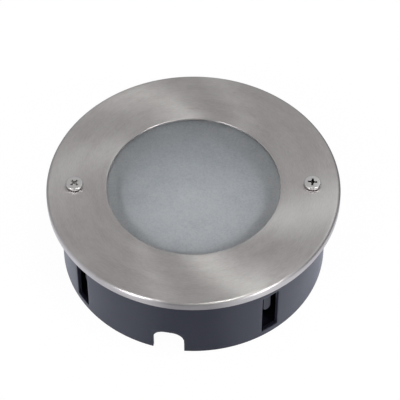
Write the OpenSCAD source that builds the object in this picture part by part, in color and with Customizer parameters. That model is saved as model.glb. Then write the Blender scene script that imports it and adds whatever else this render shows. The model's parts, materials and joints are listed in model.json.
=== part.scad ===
// Round recessed ground light: a steel cover ring and frosted window on a lamp housing
// that drops into a plastic mounting sleeve. Origin at the centre of the sleeve's foot, +Z up.
// Azimuths are in degrees from the front, -Y, and grow towards the right, +X.

/* [Cover ring] */
// Outside diameter of the cover ring
cover_d = 150; // [146:1:164]
// Thickness of the ring's sheet steel
plate_t = 1.2; // [1:0.1:1.5]
// Height of the ring's turned-down rim, from its top face
rim_h = 4.65; // [3.8:0.05:6]
// Outside radius of the bend between the ring's face and rim
bend_r = 1.6; // [1.6:0.1:2.4]
// How far the rim stands out past the sleeve
rim_lap = 6.35; // [4:0.05:8]
// Free gap between the rim and the sleeve's flange
rim_gap = 0.6; // [0.4:0.1:1]
// How far the ring covers the edge of the glass
window_lap = 7.5; // [5:0.5:12]

/* [Cover screws] */
// Thread diameter of a cover screw
screw_d = 4; // [3:0.5:4.5]
// Length of a cover screw under its washer
screw_len = 14; // [12:1:16]
// Diameter of the pan head
head_d = 8; // [7:0.5:9]
// Height of the pan head
head_h = 1.8; // [1.6:0.1:2.4]
// Radius of the pan head's rounded shoulder
head_round = 1.1; // [0.6:0.1:1.4]
// Thickness of the washer under the head
washer_t = 0.4; // [0.3:0.1:0.8]
// Diameter of the washer
washer_d = 7.8; // [7:0.1:9]
// Span of the cross recess
cross_span = 4.2; // [3.4:0.1:5]
// Width of each arm of the cross recess
cross_w = 1; // [0.8:0.1:1.3]
// Depth of the cross recess
cross_depth = 1.1; // [0.8:0.1:1.3]
// Turn of the left screw's cross
left_cross_turn = 45; // [0:1:90]
// Turn of the right screw's cross
right_cross_turn = 8; // [0:1:90]
// Distance from the housing's outside to a screw's axis
screw_inset = 2.7; // [2.5:0.1:4]
// Outside diameter of the brass inserts
insert_d = 5.6; // [5:0.1:6]
// Length of the brass inserts
insert_len = 9; // [6:0.5:10]
// Outside radius of the bosses that hold the inserts
boss_r = 4.2; // [3.8:0.1:4.6]
// Depth of the bosses below the housing's top
boss_len = 14.9; // [14.5:0.1:18]

/* [Window] */
// Thickness of the glass
glass_t = 4.5; // [4:0.5:6]
// Chamfer on the edges of the glass
glass_chamfer = 0.5; // [0.3:0.1:0.8]
// Thickness of the seal round the edge of the glass
gasket_side = 1.7; // [1.2:0.1:2]
// How far the seal's lips reach over the glass
gasket_lip = 3; // [2:0.5:4]
// Thickness of the seal's upper lip
gasket_top = 0.5; // [0.4:0.1:0.8]
// Thickness of the seal's lower lip
gasket_base = 0.8; // [0.6:0.1:1.2]

/* [Mounting sleeve] */
// Thickness of the sleeve's wall
sleeve_wall = 2.2; // [1.8:0.1:2.4]
// Thickness of the flange round the sleeve's top
flange_t = 2.2; // [1.8:0.1:2.6]
// Turn of the sleeve against the screws
sleeve_turn = -10.9; // [-20:0.1:20]
// Number of windows and spring fingers
slot_count = 4; // [3:1:6]
// Width of each window
slot_w = 9.6; // [8:0.1:12]
// Height of the sill below each window
slot_foot = 3.9; // [3:0.1:8]
// Height of the wall above each window
slot_head = 16.6; // [14:0.1:20]
// Width of the cable notch
notch_w = 15.9; // [12:0.1:20]
// Height of the cable notch
notch_h = 15.2; // [10:0.1:18]
// Corner radius of the cable notch
notch_r = 5.5; // [2:0.5:6]
// Width of each spring finger
finger_w = 5; // [4:0.1:6]
// Thickness of each spring finger
finger_t = 1.5; // [1.2:0.1:1.8]
// Gap between the wall and a finger
finger_inset = 1.05; // [0.8:0.05:1.4]
// Height of a finger's tip above the foot
finger_foot = 16; // [12:0.5:24]
// Height of a finger's root above its window
finger_root = 1.4; // [1:0.1:4]
// Width of the ledge inside the sleeve's foot
ledge_w = 16.5; // [8:0.5:20]
// Thickness of that ledge
ledge_t = 2.2; // [1.8:0.1:2.6]
// How far that ledge is cut back on each side of the notch
ledge_relief = 4; // [2:0.5:8]
// Chamfer round the sleeve's foot
foot_chamfer = 0.6; // [0.4:0.1:1]

/* [Lamp housing] */
// Free gap between the fingers and the housing
grip_gap = 0.6; // [0.4:0.1:1]
// Free gap between the housing's top and the cover ring
housing_gap = 0.5; // [0.4:0.1:0.8]
// Thickness of the housing's walls
housing_wall = 2.4; // [2:0.1:3]
// Width of the wall between a screw boss and the seal's seat
seat_wall = 2; // [1.5:0.1:2.5]
// Width of the ledge that the seal rests on
seat_ledge = 2.4; // [1.5:0.1:3]
// Width of the step that the reflector rests on
reflector_seat = 2; // [1.5:0.1:2.5]
// Height of the lower pot above the sleeve's foot
pot_foot = 5; // [4:0.5:8]
// Free gap round the lamp in the lower pot
lamp_room = 4.1; // [3.6:0.1:5]
// Chamfer round the housing's lower edges
housing_chamfer = 1; // [0.6:0.1:1.6]
// Thickness of the gussets under the shoulder
gusset_t = 2; // [1.6:0.1:3]
// Length of the gussets
gusset_len = 14; // [10:0.5:16]
// Height of the gussets
gusset_h = 13; // [8:0.5:15]

/* [Reflector] */
// Thickness of the reflector
reflector_t = 0.8; // [0.6:0.1:1]
// Depth of the reflector
reflector_h = 8.4; // [6:0.1:9]
// Free gap between the reflector and the lamp
reflector_gap = 2; // [1.5:0.1:3]

/* [Lamp] */
// Diameter of the lamp
lamp_d = 75; // [74:0.5:76]
// Height of the lamp without its pins
lamp_h = 22; // [20:0.5:24]
// Height of the lamp's opal cover
lamp_cover_h = 6; // [5:0.5:8]
// Wall of the lamp's body
lamp_wall = 1.6; // [1.2:0.1:2]
// Distance between the lamp's two pins
pin_spacing = 53; // [52:0.5:54]
// Diameter of a pin's stem
pin_d = 2.5; // [2:0.1:3]
// Diameter of a pin's head
pin_head_d = 5; // [4.6:0.1:5.4]
// Height of a pin's head
pin_head_h = 2.2; // [1.8:0.1:2.6]
// Length of a pin below the lamp
pin_len = 6.2; // [5.8:0.1:6.6]
// Turn that locks the lamp in its holder
lock_turn = 15; // [12:1:18]
// Azimuth of the first pin
pin_turn = 35; // [20:1:50]
// Free gap between the glass and the lamp
glass_gap = 2.2; // [1.5:0.1:3]
// Thickness of the lamp's boards
board_t = 1.6; // [1.2:0.1:2]
// Number of light sources in the outer ring
led_count = 12; // [6:1:18]

/* [Lampholder] */
// Diameter of the lampholder
holder_d = 68; // [64:1:70]
// Height of the lampholder
holder_h = 11.3; // [10.8:0.1:12]
// Thickness of the plate that the pins hook under
holder_plate = 3.1; // [2.8:0.1:3.4]
// Thickness of the lampholder's floor
holder_floor = 2.5; // [2:0.1:3]
// Distance from the centre to a fixing screw
fixing_r = 14; // [12:0.5:16]
// Thread diameter of the small fixing screws
fixing_d = 3; // [2.5:0.1:3.2]

/* [Terminal block] */
// Azimuth of the terminal block
terminal_turn = 40; // [36:1:46]
// Distance between two poles
pole_pitch = 8; // [7.5:0.1:8.2]
// Radial width of the block
terminal_w = 12.7; // [11:0.1:12.9]
// Height of the block
terminal_h = 9.8; // [9:0.1:10]
// Bore of a brass clamp
clamp_bore = 2.6; // [2.2:0.1:2.8]
// Wall of a brass clamp
clamp_wall = 1.1; // [0.8:0.1:1.1]
// Diameter of the insulated leads
lead_d = 1.8; // [1.4:0.1:2]

/* [Cable gland] */
// Azimuth of the gland
gland_turn = -10.9; // [-16:0.1:10]
// Height of the gland's axis above the pot's foot
gland_rise = 10.5; // [10:0.1:12]
// Free height between the gland and the shoulder
gland_room = 2.1; // [1.5:0.1:3]
// Thread diameter of the gland
gland_d = 12; // [11:0.5:12]
// Width across flats of the gland and its nut
gland_af = 16; // [15:0.5:17]
// Thickness of the gland's hexagon
gland_hex_t = 3.5; // [3:0.1:4]
// Bore of the cable seal
cable_bore = 6.8; // [5:0.1:7.4]
// Length of the cable seal
seal_len = 7.9; // [7:0.1:8]
// Length of the dome nut
nut_len = 10.8; // [10.6:0.1:12]
// Width of the flat pad on the pot's wall
pad_w = 18; // [17:0.5:20]
// Thickness of that pad
pad_t = 3.5; // [3:0.1:4]
// Thickness of the gland's sealing washer
gland_washer_t = 0.8; // [0.6:0.1:1.2]
// Thickness of the gland's locknut
locknut_t = 3.2; // [2.8:0.1:3.3]
// Width across flats of the locknut
locknut_af = 15; // [14:0.5:15]

/* [Hidden] */
$fn = 96;
// Overrun of the cuts
cut = 1;
// Gap that a thread or a turning part runs in
run_gap = 0.05;
// Gap between a part and the seat that it drops into
seat_gap = 0.3;
// Gap round a screw in a clear hole
clear_gap = 0.25;
// Depth of the slot in a small screw's head
slot_depth = 0.6;

// Radii, from the cover ring inwards
cover_r = cover_d / 2;
sleeve_r = cover_r - rim_lap;
flange_r = cover_r - plate_t - rim_gap;
sleeve_in = sleeve_r - sleeve_wall;
finger_out = sleeve_in - finger_inset;
finger_in = finger_out - finger_t;
housing_r = finger_in - grip_gap;
screw_r = housing_r - screw_inset;
seat_r = screw_r - boss_r - seat_wall;
glass_r = seat_r - seat_gap - gasket_side;
window_r = glass_r - window_lap;
lamp_r = lamp_d / 2;
holder_r = holder_d / 2;
core_r = max(lamp_r, holder_r);
pot_in = core_r + lamp_room;
pot_r = pot_in + housing_wall;

// Heights, from the sleeve's foot upwards
floor_z = pot_foot + housing_wall;
holder_z = floor_z + holder_h;
lamp_z = holder_z + seat_gap;
lamp_top = lamp_z + lamp_h;
glass_z = lamp_top + glass_gap;
glass_top = glass_z + glass_t;
seat_z = glass_z - gasket_base;
sleeve_h = glass_top + gasket_top;
cover_top = sleeve_h + plate_t;
rim_z = cover_top - rim_h;
housing_top = sleeve_h - housing_gap;
boss_z = housing_top - boss_len;
slot_h = sleeve_h - slot_foot - slot_head;
slot_step = 360 / slot_count;
gland_z = pot_foot + gland_rise;
shoulder_z = gland_z + gland_af / 2 + gland_room;
shoulder_top = shoulder_z + housing_wall;
seat_in = seat_r - seat_ledge;
shelf_in = seat_in - reflector_seat;
shelf_z = seat_z - housing_wall;
chamber_in = housing_r - housing_wall;

// Radii along the gland's axis, from the centre outwards
pad_back = pot_in + seat_gap;
pad_face = pad_back + pad_t;
hex_z = pad_face + gland_washer_t;
thread_z = hex_z + gland_hex_t;
nut_z = thread_z + seat_gap;
neck_len = nut_len / 2;
locknut_z = pad_back - locknut_t;

screw_azimuths = [-90, 90];
gusset_azimuths = [60, 120, 180, 240, 300];

steel = [0.72, 0.71, 0.69];
black = [0.12, 0.12, 0.14];
brass = [0.78, 0.62, 0.28];
white = [0.92, 0.92, 0.9];
rubber = [0.1, 0.1, 0.1];

// Turns what is built at the front to an azimuth
module at(azimuth) {
    rotate([0, 0, azimuth]) children();
}

// A round slab between two heights
module slab(r, z_low, z_high) {
    translate([0, 0, z_low]) cylinder(r = r, h = z_high - z_low);
}

// A tube between two heights
module tube(r_in, r_out, z_low, z_high) {
    difference() {
        slab(r_out, z_low, z_high);
        slab(r_in, z_low - cut, z_high + cut);
    }
}

// A block across the front, given by its width, its near and far radius and its heights
module front_block(w, r_in, r_out, z_low, z_high) {
    translate([-w / 2, -r_out, z_low]) cube([w, r_out - r_in, z_high - z_low]);
}

// A round bar along the front's radius at a height
module front_bar(r, r_in, r_out, z) {
    translate([0, -r_in, z]) rotate([90, 0, 0]) cylinder(r = r, h = r_out - r_in);
}

// A ring segment between two radii, two heights and two azimuths
module arc_block(r_in, r_out, z_low, z_high, from, to) {
    rotate([0, 0, from - 90]) rotate_extrude(angle = to - from)
        translate([r_in, z_low]) square([r_out - r_in, z_high - z_low]);
}

// A section with a round upper outer corner
module rounded_section(r_in, r_out, z_low, z_high, round) {
    translate([r_in, z_low]) square([r_out - r_in - round, z_high - z_low]);
    translate([r_in, z_low]) square([r_out - r_in, z_high - z_low - round]);
    translate([r_out - round, z_high - round]) intersection() {
        circle(r = round);
        square(round);
    }
}

// A hexagonal bar along Z, given by its width across flats
module hex_bar(flats, h) {
    cylinder(r = flats / sqrt(3), h = h, $fn = 6);
}

// A small slotted or plain cheese-head screw, standing with its head's top at z_top
module small_screw(d, head_d, head_t, z_top, z_tip) {
    difference() {
        slab(head_d / 2, z_top - head_t, z_top);
        translate([-head_d, -d / 8, z_top - slot_depth]) cube([2 * head_d, d / 4, slot_depth + cut]);
    }
    slab(d / 2, z_tip, z_top - head_t);
}

// The mounting sleeve's section, with its flange
sleeve_section = [
    [sleeve_in, 0], [sleeve_r - foot_chamfer, 0], [sleeve_r, foot_chamfer],
    [sleeve_r, sleeve_h - flange_t], [flange_r, sleeve_h - flange_t], [flange_r, sleeve_h],
    [sleeve_in, sleeve_h]
];

module slot_cut() {
    front_block(slot_w, sleeve_in - finger_inset, sleeve_r + cut, slot_foot, slot_foot + slot_h);
}

module notch_cut() {
    reach = ledge_w + sleeve_wall + 2 * cut;
    translate([0, -(sleeve_r + cut - reach), 0]) rotate([90, 0, 0]) linear_extrude(height = reach) {
        translate([-notch_w / 2, -cut]) square([notch_w, notch_h + cut - notch_r]);
        translate([notch_r - notch_w / 2, -cut]) square([notch_w - 2 * notch_r, notch_h + cut]);
        for (side = [-1, 1]) translate([side * (notch_w / 2 - notch_r), notch_h - notch_r])
            circle(r = notch_r);
    }
}

module finger() {
    tip_z = finger_foot + finger_w / 2;
    root_z = slot_foot + slot_h + finger_root;
    front_block(finger_w, finger_in, finger_out, tip_z, sleeve_h - flange_t);
    front_bar(finger_w / 2, finger_in, finger_out, tip_z);
    front_block(finger_w, finger_in, sleeve_in + sleeve_wall / 2, root_z, sleeve_h - flange_t);
}

module mounting_sleeve() {
    color(black) {
        difference() {
            rotate_extrude() polygon(sleeve_section);
            for (i = [0 : slot_count - 1]) at(sleeve_turn + (i + 1 / 2) * slot_step) slot_cut();
            at(sleeve_turn) notch_cut();
        }
        for (i = [0 : slot_count - 1]) at(sleeve_turn + (i + 1 / 2) * slot_step) finger();
    }
}

// The ledge inside the sleeve's foot, moulded on it
module sleeve_ledge() {
    color(black) difference() {
        tube(sleeve_in - ledge_w, sleeve_in, 0, ledge_t);
        at(sleeve_turn) front_block(notch_w + 2 * ledge_relief, sleeve_in - ledge_w - ledge_relief,
            sleeve_r, -cut, ledge_t + cut);
    }
}

module cover_ring() {
    color(steel) difference() {
        rotate_extrude() difference() {
            rounded_section(window_r, cover_r, rim_z, cover_top, bend_r);
            rounded_section(0, cover_r - plate_t, rim_z - cut, sleeve_h, bend_r - plate_t);
        }
        for (a = screw_azimuths) at(a) translate([0, -screw_r, 0])
            slab(screw_d / 2 + clear_gap, sleeve_h - cut, cover_top + cut);
    }
}

// One washer, at the front
module washer() {
    translate([0, -screw_r, 0])
        tube(screw_d / 2 + run_gap, washer_d / 2, cover_top, cover_top + washer_t);
}

// One cover screw, at the front, with its cross turned
module cover_screw(cross_turn) {
    head_z = cover_top + washer_t;
    translate([0, -screw_r, 0]) {
        difference() {
            rotate_extrude() rounded_section(0, head_d / 2, head_z, head_z + head_h, head_round);
            for (turn = [0, 90]) rotate([0, 0, cross_turn + turn])
                translate([-cross_span / 2, -cross_w / 2, head_z + head_h - cross_depth])
                    cube([cross_span, cross_w, cross_depth + cut]);
        }
        slab(screw_d / 2, head_z - screw_len, head_z);
    }
}

module left_washer() {
    color(rubber) at(-90) washer();
}

module left_screw() {
    color(steel) at(-90) cover_screw(left_cross_turn);
}

module right_washer() {
    color(rubber) at(90) washer();
}

module right_screw() {
    color(steel) at(90) cover_screw(right_cross_turn);
}

module window_glass() {
    c = glass_chamfer;
    color([0.8, 0.86, 0.88]) rotate_extrude() polygon([
        [0, glass_z], [glass_r - c, glass_z], [glass_r, glass_z + c],
        [glass_r, glass_top - c], [glass_r - c, glass_top], [0, glass_top]
    ]);
}

module glass_seal() {
    lip_in = glass_r - gasket_lip;
    color(rubber) {
        tube(glass_r, glass_r + gasket_side, seat_z, sleeve_h);
        tube(lip_in, glass_r + gasket_side, seat_z, glass_z);
        tube(lip_in, glass_r + gasket_side, glass_top, sleeve_h);
    }
}

// The housing's section: shoulder, upper chamber, shelf and seat
housing_section = [
    [pot_in, shoulder_z], [housing_r - housing_chamfer, shoulder_z],
    [housing_r, shoulder_z + housing_chamfer], [housing_r, housing_top],
    [seat_r, housing_top], [seat_r, seat_z], [seat_in, seat_z],
    [seat_in, seat_z - reflector_t], [shelf_in, seat_z - reflector_t], [shelf_in, shelf_z],
    [chamber_in, shelf_z], [chamber_in, shoulder_top], [pot_in, shoulder_top]
];

// The lower pot's section, up to the shoulder's underside
pot_section = [
    [0, pot_foot], [pot_r - housing_chamfer, pot_foot], [pot_r, pot_foot + housing_chamfer],
    [pot_r, shoulder_z], [pot_in, shoulder_z], [pot_in, floor_z], [0, floor_z]
];

// One gusset, against the pot's wall and the shoulder's underside
module gusset() {
    sink = housing_wall / 2;
    slope = gusset_h / gusset_len;
    difference() {
        translate([-gusset_t / 2, 0, 0]) rotate([90, 0, 90]) linear_extrude(height = gusset_t) polygon([
            [sink - pot_r, shoulder_z - gusset_h - slope * sink],
            [-pot_r - gusset_len, shoulder_z], [sink - pot_r, shoulder_z]
        ]);
        slab(pot_r, 0, shoulder_z + cut);
    }
}

// Places of the two screws that hold the lampholder, across the line of its pins
module at_fixings() {
    for (side = [0, 180]) at(pin_turn + 90 + side) translate([0, -fixing_r, 0]) children();
}

fixing_boss_r = fixing_d;
fixing_boss_h = 3.4;
fixing_tip = pot_foot + housing_wall / 4;

// Earth screw's place on the shoulder, in degrees past the terminal block
earth_offset_turn = 34;
earth_turn = terminal_turn + earth_offset_turn;
earth_r = (pot_r + chamber_in) / 2 + lead_d / 2;
earth_tip = shoulder_z + housing_wall / 4;

// Room for the gland's locknut, in the pot's wall and the shoulder's inner edge
module locknut_pocket() {
    width = 2 * locknut_af / sqrt(3) + seat_gap;
    at(gland_turn)
        front_block(width, lamp_r, pad_back, gland_z - locknut_af / 2 - seat_gap, shoulder_top + cut);
}

module lamp_pot() {
    color(black) difference() {
        union() {
            rotate_extrude() polygon(pot_section);
            at(gland_turn) front_block(pad_w, pot_in + housing_wall / 2, pad_face, gland_z - pad_w / 2,
                shoulder_z - seat_gap);
            at_fixings() slab(fixing_boss_r, pot_foot + housing_wall / 2, floor_z + fixing_boss_h);
        }
        locknut_pocket();
        at(gland_turn) front_bar(gland_d / 2 + run_gap, pad_back - cut, pad_face + cut, gland_z);
        at_fixings() slab(fixing_d / 2 + run_gap, fixing_tip, floor_z + fixing_boss_h + cut);
    }
}

module pot_gussets() {
    color(black) for (a = gusset_azimuths) at(a) gusset();
}

module lamp_housing() {
    color(black) difference() {
        union() {
            rotate_extrude() polygon(housing_section);
            for (a = screw_azimuths) at(a) translate([0, -screw_r, 0]) slab(boss_r, boss_z, housing_top);
        }
        for (a = screw_azimuths) at(a) translate([0, -screw_r, 0]) {
            slab(insert_d / 2 + run_gap, housing_top - insert_len, housing_top + cut);
            slab(screw_d / 2 + clear_gap, boss_z + housing_wall / 2, housing_top);
        }
        locknut_pocket();
        at_terminal_fixings() slab(fixing_d / 2 + run_gap - pole_gap, earth_tip, shoulder_top + cut);
        at(earth_turn) translate([0, -earth_r, 0])
            slab(fixing_d / 2 + run_gap, earth_tip, shoulder_top + cut);
    }
}

module screw_inserts() {
    color(brass) for (a = screw_azimuths) at(a) translate([0, -screw_r, 0])
        tube(screw_d / 2 + run_gap, insert_d / 2, housing_top - insert_len, housing_top);
}

module reflector() {
    rim_in = shelf_in - seat_gap;
    rim_out = seat_in - seat_gap + run_gap;
    throat = lamp_r + reflector_gap;
    color(white) rotate_extrude() polygon([
        [throat, seat_z - reflector_h], [rim_in, seat_z], [rim_out, seat_z],
        [rim_out, seat_z - reflector_t], [rim_in, seat_z - reflector_t],
        [throat, seat_z - reflector_h - reflector_t]
    ]);
}

// Heights inside the lampholder and along the pins
plate_z = holder_z - holder_plate;
contact_z = floor_z + holder_floor;
pin_tip = lamp_z - pin_len;
pin_r = pin_spacing / 2;
hook_gap = 0.6;
contact_t = 0.8;
// Degrees by which a contact reaches past the pin's path
contact_turn = 2;
// Degrees by which a well's curved part stops short of its round ends
arc_inset = 0.5;

// The curved well that one pin's head turns in, with its wider end where the pin drops in
module pin_well() {
    stem = pin_d / 2 + seat_gap;
    head = pin_head_d / 2 + hook_gap;
    neck = 2 * run_gap;
    arc_block(pin_r - head + neck, pin_r + head - neck, contact_z, plate_z, arc_inset, lock_turn - arc_inset);
    arc_block(pin_r - stem + neck, pin_r + stem - neck, plate_z - cut, holder_z + cut,
        arc_inset, lock_turn - arc_inset);
    translate([0, -pin_r, 0]) {
        slab(head, contact_z, plate_z);
        slab(stem, plate_z - cut, holder_z + cut);
    }
    at(lock_turn) translate([0, -pin_r, 0]) slab(head, contact_z, holder_z + cut);
}

lead_z = contact_z + lead_d;
live_hole_turn = pin_turn - contact_turn;
neutral_hole_turn = live_hole_turn + 180;

module lampholder() {
    color(white) difference() {
        rotate_extrude() rounded_section(0, holder_r, floor_z, holder_z, holder_floor / 2);
        for (side = [0, 180]) at(pin_turn + side) pin_well();
        at_fixings() {
            slab(fixing_boss_r + seat_gap, floor_z - cut, floor_z + fixing_boss_h + run_gap);
            slab(fixing_d / 2 + clear_gap, floor_z, holder_z + cut);
            slab(fixing_d + clear_gap, holder_z - fixing_d, holder_z + cut);
        }
        for (a = [live_hole_turn, neutral_hole_turn]) at(a)
            front_bar(lead_d / 2 + run_gap, pin_r, holder_r + cut, lead_z);
    }
}

module lampholder_contacts() {
    half = pin_head_d * 2 / 5;
    top = pin_tip - seat_gap;
    color(brass) for (side = [0, 180]) at(pin_turn + side) {
        arc_block(pin_r - half, pin_r + half, top - contact_t, top, -contact_turn, lock_turn + contact_turn);
        arc_block(pin_r - half * 4 / 5, pin_r + half * 4 / 5, contact_z, top - contact_t / 2,
            lock_turn - contact_turn / 2, lock_turn + contact_turn / 2);
    }
}

module lampholder_screws() {
    color(steel) at_fixings()
        small_screw(fixing_d, 2 * fixing_d, fixing_d * 4 / 5, holder_z - fixing_d / 5, fixing_tip);
}

// Terminal block
block_gap = 1.7;
terminal_in = chamber_in - block_gap - terminal_w;
terminal_mid = terminal_in + terminal_w / 2;
pole_gap = 0.5;
terminal_len = 3 * pole_pitch + 2 * pole_gap;
clamp_r = clamp_bore / 2 + clamp_wall;
clamp_z = shoulder_top + terminal_h / 2 - lead_d / 2;
clamp_len = terminal_w - 2 * clamp_wall;
pole_screw_d = fixing_d - 2 * pole_gap / 5;

// Places of the terminal block's two fixing screws, between its poles
module at_terminal_fixings() {
    for (side = [-1, 1]) at(terminal_turn) translate([side * pole_pitch / 2, -terminal_mid, 0]) children();
}

// Places of the three poles, live, neutral and earth
module at_poles() {
    at(terminal_turn) for (i = [-1, 0, 1]) translate([i * pole_pitch, 0, 0]) children();
}

module terminal_block() {
    top = shoulder_top + terminal_h;
    color(white) difference() {
        at(terminal_turn) front_block(terminal_len, terminal_in, terminal_in + terminal_w, shoulder_top, top);
        at_poles() {
            front_bar(clamp_r + run_gap, terminal_in - cut, terminal_in + terminal_w + cut, clamp_z);
            translate([0, -terminal_mid, 0]) slab(pole_screw_d / 2 + clear_gap, clamp_z, top + cut);
        }
        at_terminal_fixings() {
            slab(fixing_d / 2 + run_gap - pole_gap, shoulder_top - cut, top + cut);
        }
    }
}

module terminal_clamps() {
    start = terminal_mid - clamp_len / 2;
    color(brass) at_poles() difference() {
        front_bar(clamp_r, start, start + clamp_len, clamp_z);
        front_bar(clamp_bore / 2, start - cut, start + clamp_len + cut, clamp_z);
        translate([0, -terminal_mid, 0]) slab(pole_screw_d / 2 + run_gap, clamp_z, clamp_z + clamp_r + cut);
    }
}

module terminal_screws() {
    color(steel) at_poles() translate([0, -terminal_mid, 0]) difference() {
        slab(pole_screw_d / 2, clamp_z, shoulder_top + terminal_h - pole_gap);
        translate([-pole_screw_d, -pole_screw_d / 8, shoulder_top + terminal_h - pole_gap - slot_depth])
            cube([2 * pole_screw_d, pole_screw_d / 4, slot_depth + cut]);
    }
}

module terminal_fixings() {
    head_t = fixing_d / 3;
    color(steel) at_terminal_fixings()
        small_screw(fixing_d - 2 * pole_gap, fixing_d - run_gap, head_t,
            shoulder_top + terminal_h + head_t, earth_tip);
}

tag_t = 0.8;

module earth_tag() {
    color(brass) difference() {
        at(earth_turn) union() {
            translate([0, -earth_r, 0]) slab(fixing_d + run_gap, shoulder_top, shoulder_top + tag_t);
            translate([-earth_r / 6, -earth_r - fixing_d / 2, shoulder_top])
                cube([earth_r / 6, fixing_d, tag_t]);
        }
        at(earth_turn) translate([0, -earth_r, 0])
            slab(fixing_d / 2 + clear_gap, shoulder_top - cut, shoulder_top + tag_t + cut);
    }
}

module earth_screw() {
    head_t = fixing_d * 3 / 5;
    color(steel) at(earth_turn) translate([0, -earth_r, 0])
        small_screw(fixing_d, 2 * fixing_d, head_t, shoulder_top + tag_t + head_t, earth_tip);
}

// Leads: each runs smoothly through places given as radius, azimuth and height
lead_sides = 8;
lead_steps = 6;

function spline(a, b, c, d, t) =
    (2 * b + (c - a) * t + (2 * a - 5 * b + 4 * c - d) * t * t + (3 * b - a - 3 * c + d) * t * t * t) / 2;

function lead_path(p) = [
    for (i = [1 : len(p) - 3], k = [0 : lead_steps - 1])
        spline(p[i - 1], p[i], p[i + 1], p[i + 2], k / lead_steps),
    p[len(p) - 2]
];

function place(p) = [p[0] * sin(p[1]), -p[0] * cos(p[1]), p[2]];

function unit(v) = v / norm(v);

// Carries the side direction along the path, so that the tube doesn't twist
function sides_along(dirs, i, last) =
    i == len(dirs) ? [] :
    let (flat = last - (last * dirs[i]) * dirs[i], side = unit(flat))
    concat([side], sides_along(dirs, i + 1, side));

module lead(places) {
    path = [for (p = lead_path(places)) place(p)];
    n = len(path);
    dirs = [for (i = [0 : n - 1]) unit(path[min(i + 1, n - 1)] - path[max(i - 1, 0)])];
    sides = sides_along(dirs, 0, unit(cross(dirs[0], [0, 0.1, 1])));
    rings = [
        for (i = [0 : n - 1], k = [0 : lead_sides - 1])
            let (turn = 360 * k / lead_sides)
            path[i] + lead_d / 2 * (cos(turn) * sides[i] + sin(turn) * cross(dirs[i], sides[i]))
    ];
    walls = [
        for (i = [0 : n - 2], k = [0 : lead_sides - 1])
            let (a = i * lead_sides + k, b = i * lead_sides + (k + 1) % lead_sides)
            each [[a, a + lead_sides, b], [b, a + lead_sides, b + lead_sides]]
    ];
    ends = [
        [for (k = [0 : lead_sides - 1]) k],
        [for (k = [lead_sides - 1 : -1 : 0]) (n - 1) * lead_sides + k]
    ];
    polyhedron(points = rings, faces = concat(walls, ends));
}

// Leads run down the middle of the gap between the lamp and the lower pot
lead_r = (core_r + pot_in) / 2;
lead_tail = 2 * clamp_wall;
// Degrees in which a long lead comes down, and between its next places
fall_turn = 10;
stride_turn = 16;
// Degrees between the places of the short earth lead
earth_step_turn = 4;
bend_z = shoulder_top + housing_wall / 4;

// A place on a pole's own axis, at a distance along it
function pole_place(i, along) =
    [norm([along, i * pole_pitch]), terminal_turn + atan2(i * pole_pitch, along), clamp_z];

// The end of a lead inside its clamp and its straight way out of the block
function lead_start(i) = [
    pole_place(i, terminal_in + 2 * lead_tail), pole_place(i, terminal_in + lead_tail),
    pole_place(i, terminal_in), pole_place(i, terminal_in - lead_d)
];

// The end of a lead in the lampholder's side, from the gap round the holder inwards
function lead_end(turn) = [
    [holder_r + lead_d, turn, lead_z], [holder_r, turn, lead_z],
    [pin_r + pin_head_d / 2, turn, lead_z], [pin_r, turn, lead_z]
];

module live_lead() {
    turn = pole_place(-1, lead_r)[1];
    color([0.45, 0.25, 0.14]) lead(concat(lead_start(-1), [
        [lead_r + lead_d / 2, turn, clamp_z - lead_d / 2], [lead_r, turn, bend_z],
        [lead_r, (turn + live_hole_turn) / 2, (bend_z + lead_z) / 2],
        [lead_r, live_hole_turn, lead_z + 2 * lead_d],
        [lead_r - lead_d / 3, live_hole_turn, lead_z + lead_d / 2]
    ], lead_end(live_hole_turn)));
}

module neutral_lead() {
    low_z = lead_z + 2 * lead_d;
    turn = terminal_turn;
    first_turn = turn + fall_turn + stride_turn * 3 / 4;
    last_turn = neutral_hole_turn - fall_turn - stride_turn / 2;
    color([0.2, 0.36, 0.66]) lead(concat(lead_start(0), [
        [lead_r + lead_d / 2, turn, clamp_z - lead_d / 2], [lead_r, turn, bend_z],
        [lead_r, turn + fall_turn / 5, (bend_z + low_z) / 2], [lead_r, turn + fall_turn, low_z],
        for (t = [first_turn : stride_turn : last_turn]) [lead_r, t, low_z],
        [lead_r, neutral_hole_turn - fall_turn * 4 / 5, low_z - lead_d],
        [lead_r - lead_d / 3, neutral_hole_turn - fall_turn / 5, lead_z]
    ], lead_end(neutral_hole_turn)));
}

module earth_lead() {
    turn = pole_place(1, terminal_in)[1];
    tag_turn = earth_turn - asin(1 / 6);
    tag_z = shoulder_top + tag_t + lead_d / 2 + run_gap;
    color([0.5, 0.6, 0.2]) lead(concat(lead_start(1), [
        [terminal_in - 2 * lead_d, turn + earth_step_turn * 3 / 4, clamp_z - lead_d / 3],
        [terminal_in - 3 * lead_d / 2, turn + 2 * earth_step_turn, (clamp_z + tag_z) / 2],
        [terminal_in + lead_d, turn + 3 * earth_step_turn, tag_z + lead_d / 3],
        [earth_r - lead_d, tag_turn + earth_step_turn / 4, tag_z],
        [earth_r + lead_d / 2, tag_turn + earth_step_turn / 2, tag_z],
        [earth_r + 2 * lead_d, tag_turn + earth_step_turn / 2, tag_z]
    ]));
}

// The gland's parts are built along Z, then laid along the front's radius
module along_gland() {
    at(gland_turn) translate([0, 0, gland_z]) rotate([90, 0, 0]) children();
}

gland_wall = 1.4;
neck_wall = 1.6;
nut_lip = 2;
gland_bore_r = gland_d / 2 - gland_wall;
neck_r = gland_d / 2 + hook_gap;
seal_r = neck_r - neck_wall;
neck_end = thread_z + neck_len;
seal_z = thread_z + hook_gap;
nut_end = nut_z + nut_len;

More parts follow.
